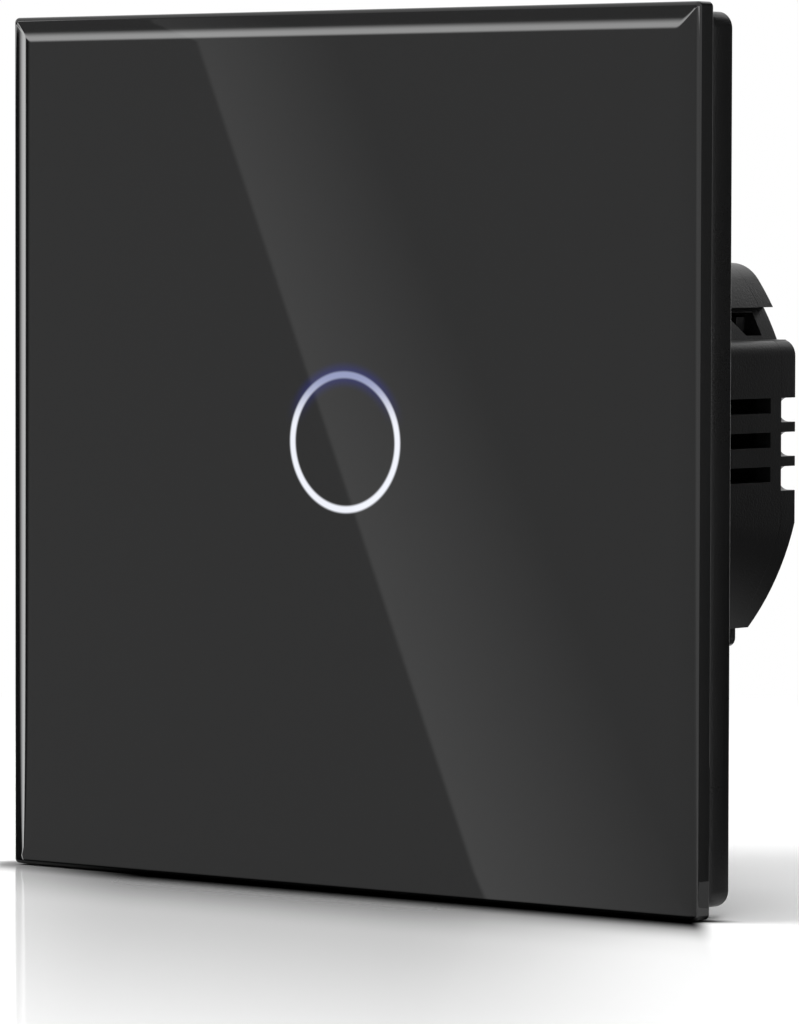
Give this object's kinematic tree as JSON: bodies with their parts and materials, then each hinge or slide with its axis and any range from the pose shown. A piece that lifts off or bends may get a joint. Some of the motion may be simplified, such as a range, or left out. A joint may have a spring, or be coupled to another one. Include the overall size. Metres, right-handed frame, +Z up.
{
  "type": "touch light switch",
  "caption": "Glass-fronted wall touch switch with a lit ring, a clip-on square panel, a steel plate and a round rear module with screw terminals.",
  "frame": {"origin": "centre of the wall screw pattern on the wall plane, which is the back of the mounting plate", "axes": "+Z up, +Y into the wall, +X to the right as seen from the room"},
  "size_m": [0.086, 0.0386, 0.086],
  "materials": {
    "black_glass": "polished, printed black on the back",
    "foam_tape": "matt foam",
    "black_plastic": "fine moulded texture",
    "zinc_steel": "zinc plated",
    "clear_plastic": "translucent",
    "spring_steel": "plated wire",
    "board_green": "solder mask",
    "lamp_white": "moulded lens",
    "chip_black": "moulded resin",
    "relay_blue": "moulded case",
    "capacitor_sleeve": "shrunk sleeve",
    "capacitor_yellow": "dipped box",
    "varistor_blue": "dipped coating",
    "ferrite": "ferrite",
    "fuse_green": "lacquer",
    "grey_plastic": "moulded",
    "brass": "plated"
  },
  "bodies": {
    "base": {"mounting_plate": "zinc_steel", "front_cover": "black_plastic", "light_guide": "clear_plastic", "touch_spring": "spring_steel", "touch_board": "board_green", "indicator_leds": "lamp_white", "touch_chip": "chip_black", "pin_header": "chip_black", "header_socket": "chip_black", "power_board": "board_green", "relay": "relay_blue", "electrolytic_capacitor": "capacitor_sleeve", "film_capacitor": "capacitor_yellow", "varistor": "varistor_blue", "inductor": "ferrite", "fuse_resistor": "fuse_green", "rectifier": "chip_black", "rear_housing": "black_plastic", "rear_cover": "black_plastic", "housing_screws": "zinc_steel", "terminal_block": "grey_plastic", "contact_bars": "brass"},
    "panel": {"glass_panel": "black_glass", "adhesive_tape": "foam_tape", "panel_frame": "black_plastic"},
    "terminal_screw_1": {"terminal_screw_1": "zinc_steel"},
    "clamp_cage_1": {"clamp_cage_1": "zinc_steel"},
    "terminal_screw_2": {"terminal_screw_2": "zinc_steel"},
    "clamp_cage_2": {"clamp_cage_2": "zinc_steel"},
    "terminal_screw_3": {"terminal_screw_3": "zinc_steel"},
    "clamp_cage_3": {"clamp_cage_3": "zinc_steel"}
  },
  "joints": [
    {"name": "panel_pull", "type": "slide", "parent": "base", "child": "panel", "axis": [0, -1, 0], "range_m": [0, 0.015]},
    {"name": "screw_1_turn", "type": "hinge", "parent": "base", "child": "terminal_screw_1", "pos_m": [-0.009, 0.0279, -0.0115], "axis": [0, -1, 0], "range_deg": [0, 1224.1]},
    {"name": "cage_1_rise", "type": "slide", "parent": "base", "child": "clamp_cage_1", "axis": [0, 1, 0], "range_m": [0, 0.0017]},
    {"name": "screw_2_turn", "type": "hinge", "parent": "base", "child": "terminal_screw_2", "pos_m": [0, 0.0279, -0.0115], "axis": [0, -1, 0], "range_deg": [0, 1224.1]},
    {"name": "cage_2_rise", "type": "slide", "parent": "base", "child": "clamp_cage_2", "axis": [0, 1, 0], "range_m": [0, 0.0017]},
    {"name": "screw_3_turn", "type": "hinge", "parent": "base", "child": "terminal_screw_3", "pos_m": [0.009, 0.0279, -0.0115], "axis": [0, -1, 0], "range_deg": [0, 1224.1]},
    {"name": "cage_3_rise", "type": "slide", "parent": "base", "child": "clamp_cage_3", "axis": [0, 1, 0], "range_m": [0, 0.0017]}
  ],
  "couplings": [
    {"joint": "screw_1_turn", "follows": "cage_1_rise", "rad_per_m": 12566},
    {"joint": "screw_2_turn", "follows": "cage_2_rise", "rad_per_m": 12566},
    {"joint": "screw_3_turn", "follows": "cage_3_rise", "rad_per_m": 12566}
  ]
}
